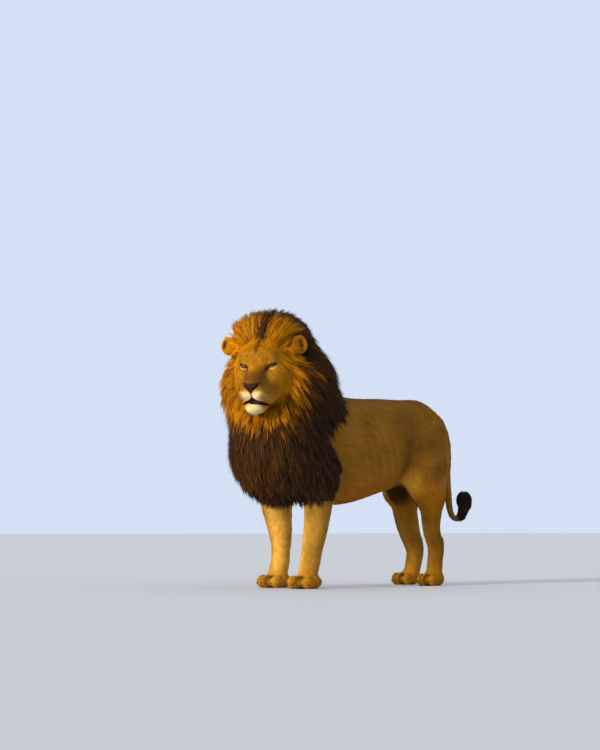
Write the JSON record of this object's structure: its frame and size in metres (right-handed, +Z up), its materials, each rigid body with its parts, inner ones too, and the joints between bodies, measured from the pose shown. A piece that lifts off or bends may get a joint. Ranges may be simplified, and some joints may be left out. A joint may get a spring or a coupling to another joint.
{
  "type": "lion",
  "caption": "Life-size male lion standing still with its head turned to its left, long mane, tail hanging with the dark tuft curled up, on four flat soles.",
  "frame": {"origin": "on the floor, under the middle of the lion's bounding box", "axes": "+X to the lion's left, +Y along its body towards the tail, +Z up; its chest faces -Y and its head is turned 37 degrees towards +X"},
  "size_m": [0.5752, 1.7762, 1.4704],
  "materials": {
    "short_coat": "short, close, slightly glossy tawny fur",
    "pale_coat": "short pale sandy fur",
    "ear_coat": "golden-orange fur, dark and sparse inside the ear",
    "nose_leather": "dark, fine-grained, slightly moist skin",
    "eye": "wet, clear-coated amber eyeball with a round dark pupil",
    "tail_tuft": "long, coarse, nearly black hair",
    "mane_gold": "long, coarse, glossy golden-orange hair in locks",
    "mane_dark": "long, coarse, dark brown to black hair in locks with golden tips"
  },
  "bodies": {
    "root": {"head": "short_coat", "lower_jaw": "pale_coat", "nose": "nose_leather", "eye_left": "eye", "eye_right": "eye", "ear_left": "ear_coat", "ear_right": "ear_coat", "neck": "short_coat", "chest": "short_coat", "belly": "short_coat", "rump": "short_coat", "shoulder_left": "short_coat", "foreleg_left": "short_coat", "forepaw_left": "pale_coat", "thigh_left": "short_coat", "shank_left": "short_coat", "hindfoot_left": "pale_coat", "shoulder_right": "short_coat", "foreleg_right": "short_coat", "forepaw_right": "pale_coat", "thigh_right": "short_coat", "shank_right": "short_coat", "hindfoot_right": "pale_coat", "tail_base": "short_coat", "tail_middle": "short_coat", "tail_tip": "short_coat", "tail_tuft": "tail_tuft", "mane_chest": "mane_dark", "mane_neck": "mane_dark", "mane_crown": "mane_gold"}
  },
  "joints": []
}
